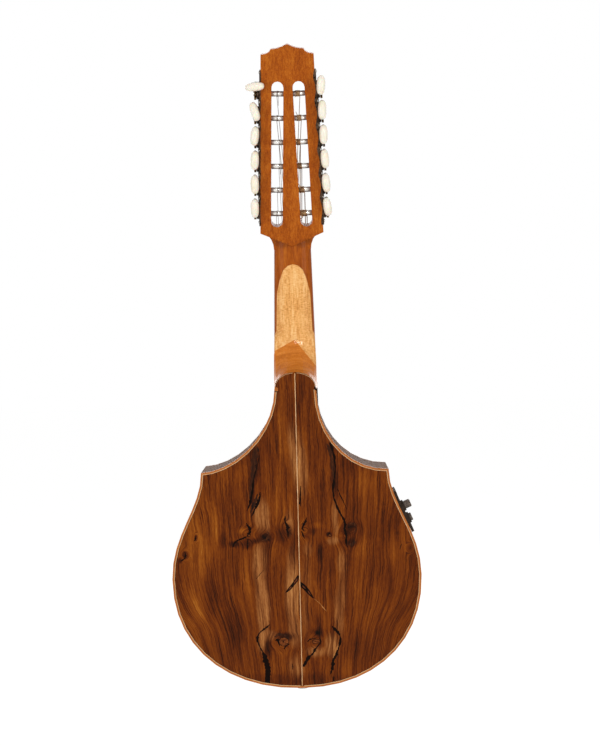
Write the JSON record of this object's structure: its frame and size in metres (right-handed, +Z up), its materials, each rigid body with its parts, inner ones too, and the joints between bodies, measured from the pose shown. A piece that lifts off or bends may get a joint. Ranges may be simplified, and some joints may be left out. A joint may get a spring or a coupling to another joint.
{
  "type": "twelve-string mandolin",
  "caption": "Flat-backed plucked instrument with paired strings, a pear-shaped body with pointed shoulders, a slotted head with geared tuners and a preamp in the rib.",
  "frame": {"origin": "the nut: on the centreline, in the plane of the soundboard's outer face, at the fingerboard's end", "axes": "+Z up the neck towards the head, +Y out of the soundboard, -Y out of the back, +X towards the bass side with the preamp"},
  "size_m": [0.2761, 0.0882, 0.7223],
  "materials": {
    "spruce": "clear gloss lacquer",
    "walnut": "clear gloss lacquer",
    "maple": "clear gloss lacquer",
    "mahogany": "clear satin lacquer",
    "cedar": "bare, planed",
    "pale_neck_wood": "clear gloss lacquer",
    "dark_board_wood": "oiled",
    "bone": "polished bone",
    "ivory_plastic": "glossy, slightly yellowed",
    "black_plastic": "fine matt texture",
    "plated_steel": "bright nickel plate",
    "aged_steel": "darkened plate",
    "string_wire": "drawn wire"
  },
  "bodies": {
    "instrument": {"soundboard": "spruce", "back_bass": "walnut", "back_treble": "walnut", "rib_bass": "walnut", "rib_treble": "walnut", "neck_block": "cedar", "tail_block": "cedar", "head": "mahogany", "neck_shaft": "pale_neck_wood", "heel": "pale_neck_wood", "fingerboard": "dark_board_wood", "nut": "bone", "bridge": "dark_board_wood", "saddle": "bone", "back_binding": "maple", "soundboard_binding": "maple", "preamp_housing": "black_plastic", "output_jack": "plated_steel", "back_bracing": "cedar", "soundboard_bracing": "cedar", "machine_plate_bass": "aged_steel", "machine_plate_treble": "aged_steel", "string_bass_1_inner": "string_wire", "string_bass_1_outer": "string_wire", "string_bass_2_inner": "string_wire", "string_bass_2_outer": "string_wire", "string_bass_3_inner": "string_wire", "string_bass_3_outer": "string_wire", "string_treble_1_inner": "string_wire", "string_treble_1_outer": "string_wire", "string_treble_2_inner": "string_wire", "string_treble_2_outer": "string_wire", "string_treble_3_inner": "string_wire", "string_treble_3_outer": "string_wire"},
    "tuner_bass_1_knob": {"tuner_bass_1_knob": "ivory_plastic"},
    "tuner_bass_1_roller": {"tuner_bass_1_roller": "plated_steel"},
    "tuner_bass_2_knob": {"tuner_bass_2_knob": "ivory_plastic"},
    "tuner_bass_2_roller": {"tuner_bass_2_roller": "plated_steel"},
    "tuner_bass_3_knob": {"tuner_bass_3_knob": "ivory_plastic"},
    "tuner_bass_3_roller": {"tuner_bass_3_roller": "plated_steel"},
    "tuner_bass_4_knob": {"tuner_bass_4_knob": "ivory_plastic"},
    "tuner_bass_4_roller": {"tuner_bass_4_roller": "plated_steel"},
    "tuner_bass_5_knob": {"tuner_bass_5_knob": "ivory_plastic"},
    "tuner_bass_5_roller": {"tuner_bass_5_roller": "plated_steel"},
    "tuner_bass_6_knob": {"tuner_bass_6_knob": "ivory_plastic"},
    "tuner_bass_6_roller": {"tuner_bass_6_roller": "plated_steel"},
    "tuner_treble_1_knob": {"tuner_treble_1_knob": "ivory_plastic"},
    "tuner_treble_1_roller": {"tuner_treble_1_roller": "plated_steel"},
    "tuner_treble_2_knob": {"tuner_treble_2_knob": "ivory_plastic"},
    "tuner_treble_2_roller": {"tuner_treble_2_roller": "plated_steel"},
    "tuner_treble_3_knob": {"tuner_treble_3_knob": "ivory_plastic"},
    "tuner_treble_3_roller": {"tuner_treble_3_roller": "plated_steel"},
    "tuner_treble_4_knob": {"tuner_treble_4_knob": "ivory_plastic"},
    "tuner_treble_4_roller": {"tuner_treble_4_roller": "plated_steel"},
    "tuner_treble_5_knob": {"tuner_treble_5_knob": "ivory_plastic"},
    "tuner_treble_5_roller": {"tuner_treble_5_roller": "plated_steel"},
    "tuner_treble_6_knob": {"tuner_treble_6_knob": "ivory_plastic"},
    "tuner_treble_6_roller": {"tuner_treble_6_roller": "plated_steel"},
    "volume_knob": {"volume_knob": "black_plastic"},
    "tone_knob": {"tone_knob": "black_plastic"}
  },
  "joints": [
    {"name": "tuner_bass_1_turn", "type": "hinge", "parent": "instrument", "child": "tuner_bass_1_knob", "pos_m": [0.0407, -0.00999, 0.04005], "axis": [0, -0.9703, -0.2419], "continuous": true},
    {"name": "tuner_bass_1_wind", "type": "hinge", "parent": "instrument", "child": "tuner_bass_1_roller", "pos_m": [0.035, -0.01652, 0.02905], "axis": [0.9994, -0.0082, 0.033], "continuous": true},
    {"name": "tuner_bass_2_turn", "type": "hinge", "parent": "instrument", "child": "tuner_bass_2_knob", "pos_m": [0.03979, -0.01644, 0.06595], "axis": [0, -0.9703, -0.2419], "continuous": true},
    {"name": "tuner_bass_2_wind", "type": "hinge", "parent": "instrument", "child": "tuner_bass_2_roller", "pos_m": [0.0341, -0.02297, 0.05494], "axis": [0.9994, -0.0082, 0.033], "continuous": true},
    {"name": "tuner_bass_3_turn", "type": "hinge", "parent": "instrument", "child": "tuner_bass_3_knob", "pos_m": [0.03888, -0.0229, 0.09184], "axis": [0, -0.9703, -0.2419], "continuous": true},
    {"name": "tuner_bass_3_wind", "type": "hinge", "parent": "instrument", "child": "tuner_bass_3_roller", "pos_m": [0.03319, -0.02943, 0.08083], "axis": [0.9994, -0.0082, 0.033], "continuous": true},
    {"name": "tuner_bass_4_turn", "type": "hinge", "parent": "instrument", "child": "tuner_bass_4_knob", "pos_m": [0.03797, -0.02935, 0.11773], "axis": [0, -0.9703, -0.2419], "continuous": true},
    {"name": "tuner_bass_4_wind", "type": "hinge", "parent": "instrument", "child": "tuner_bass_4_roller", "pos_m": [0.03228, -0.03588, 0.10672], "axis": [0.9994, -0.0082, 0.033], "continuous": true},
    {"name": "tuner_bass_5_turn", "type": "hinge", "parent": "instrument", "child": "tuner_bass_5_knob", "pos_m": [0.03706, -0.03581, 0.14362], "axis": [0, -0.9703, -0.2419], "continuous": true},
    {"name": "tuner_bass_5_wind", "type": "hinge", "parent": "instrument", "child": "tuner_bass_5_roller", "pos_m": [0.03137, -0.04234, 0.13262], "axis": [0.9994, -0.0082, 0.033], "continuous": true},
    {"name": "tuner_bass_6_turn", "type": "hinge", "parent": "instrument", "child": "tuner_bass_6_knob", "pos_m": [0.03616, -0.04226, 0.16951], "axis": [0, -0.9703, -0.2419], "continuous": true},
    {"name": "tuner_bass_6_wind", "type": "hinge", "parent": "instrument", "child": "tuner_bass_6_roller", "pos_m": [0.03046, -0.0488, 0.15851], "axis": [0.9994, -0.0082, 0.033], "continuous": true},
    {"name": "tuner_treble_1_turn", "type": "hinge", "parent": "instrument", "child": "tuner_treble_1_knob", "pos_m": [-0.0407, -0.00999, 0.04005], "axis": [0, -0.9703, -0.2419], "continuous": true},
    {"name": "tuner_treble_1_wind", "type": "hinge", "parent": "instrument", "child": "tuner_treble_1_roller", "pos_m": [-0.035, -0.01652, 0.02905], "axis": [-0.9994, -0.0082, 0.033], "continuous": true},
    {"name": "tuner_treble_2_turn", "type": "hinge", "parent": "instrument", "child": "tuner_treble_2_knob", "pos_m": [-0.03979, -0.01644, 0.06595], "axis": [0, -0.9703, -0.2419], "continuous": true},
    {"name": "tuner_treble_2_wind", "type": "hinge", "parent": "instrument", "child": "tuner_treble_2_roller", "pos_m": [-0.0341, -0.02297, 0.05494], "axis": [-0.9994, -0.0082, 0.033], "continuous": true},
    {"name": "tuner_treble_3_turn", "type": "hinge", "parent": "instrument", "child": "tuner_treble_3_knob", "pos_m": [-0.03888, -0.0229, 0.09184], "axis": [0, -0.9703, -0.2419], "continuous": true},
    {"name": "tuner_treble_3_wind", "type": "hinge", "parent": "instrument", "child": "tuner_treble_3_roller", "pos_m": [-0.03319, -0.02943, 0.08083], "axis": [-0.9994, -0.0082, 0.033], "continuous": true},
    {"name": "tuner_treble_4_turn", "type": "hinge", "parent": "instrument", "child": "tuner_treble_4_knob", "pos_m": [-0.03797, -0.02935, 0.11773], "axis": [0, -0.9703, -0.2419], "continuous": true},
    {"name": "tuner_treble_4_wind", "type": "hinge", "parent": "instrument", "child": "tuner_treble_4_roller", "pos_m": [-0.03228, -0.03588, 0.10672], "axis": [-0.9994, -0.0082, 0.033], "continuous": true},
    {"name": "tuner_treble_5_turn", "type": "hinge", "parent": "instrument", "child": "tuner_treble_5_knob", "pos_m": [-0.03706, -0.03581, 0.14362], "axis": [0, -0.9703, -0.2419], "continuous": true},
    {"name": "tuner_treble_5_wind", "type": "hinge", "parent": "instrument", "child": "tuner_treble_5_roller", "pos_m": [-0.03137, -0.04234, 0.13262], "axis": [-0.9994, -0.0082, 0.033], "continuous": true},
    {"name": "tuner_treble_6_turn", "type": "hinge", "parent": "instrument", "child": "tuner_treble_6_knob", "pos_m": [-0.03616, -0.04226, 0.16951], "axis": [0, -0.9703, -0.2419], "continuous": true},
    {"name": "tuner_treble_6_wind", "type": "hinge", "parent": "instrument", "child": "tuner_treble_6_roller", "pos_m": [-0.03046, -0.0488, 0.15851], "axis": [-0.9994, -0.0082, 0.033], "continuous": true},
    {"name": "volume_knob_turn", "type": "hinge", "parent": "instrument", "child": "volume_knob", "pos_m": [0.11503, -0.0355, -0.30643], "axis": [0.92, 0, 0.392], "range_deg": [-150, 150]},
    {"name": "tone_knob_turn", "type": "hinge", "parent": "instrument", "child": "tone_knob", "pos_m": [0.12083, -0.0355, -0.32004], "axis": [0.92, 0, 0.392], "range_deg": [-150, 150]}
  ],
  "couplings": [
    {"joint": "tuner_bass_1_wind", "follows": "tuner_bass_1_turn", "ratio": -0.071429},
    {"joint": "tuner_bass_2_wind", "follows": "tuner_bass_2_turn", "ratio": -0.071429},
    {"joint": "tuner_bass_3_wind", "follows": "tuner_bass_3_turn", "ratio": -0.071429},
    {"joint": "tuner_bass_4_wind", "follows": "tuner_bass_4_turn", "ratio": -0.071429},
    {"joint": "tuner_bass_5_wind", "follows": "tuner_bass_5_turn", "ratio": -0.071429},
    {"joint": "tuner_bass_6_wind", "follows": "tuner_bass_6_turn", "ratio": -0.071429},
    {"joint": "tuner_treble_1_wind", "follows": "tuner_treble_1_turn", "ratio": -0.071429},
    {"joint": "tuner_treble_2_wind", "follows": "tuner_treble_2_turn", "ratio": -0.071429},
    {"joint": "tuner_treble_3_wind", "follows": "tuner_treble_3_turn", "ratio": -0.071429},
    {"joint": "tuner_treble_4_wind", "follows": "tuner_treble_4_turn", "ratio": -0.071429},
    {"joint": "tuner_treble_5_wind", "follows": "tuner_treble_5_turn", "ratio": -0.071429},
    {"joint": "tuner_treble_6_wind", "follows": "tuner_treble_6_turn", "ratio": -0.071429}
  ]
}
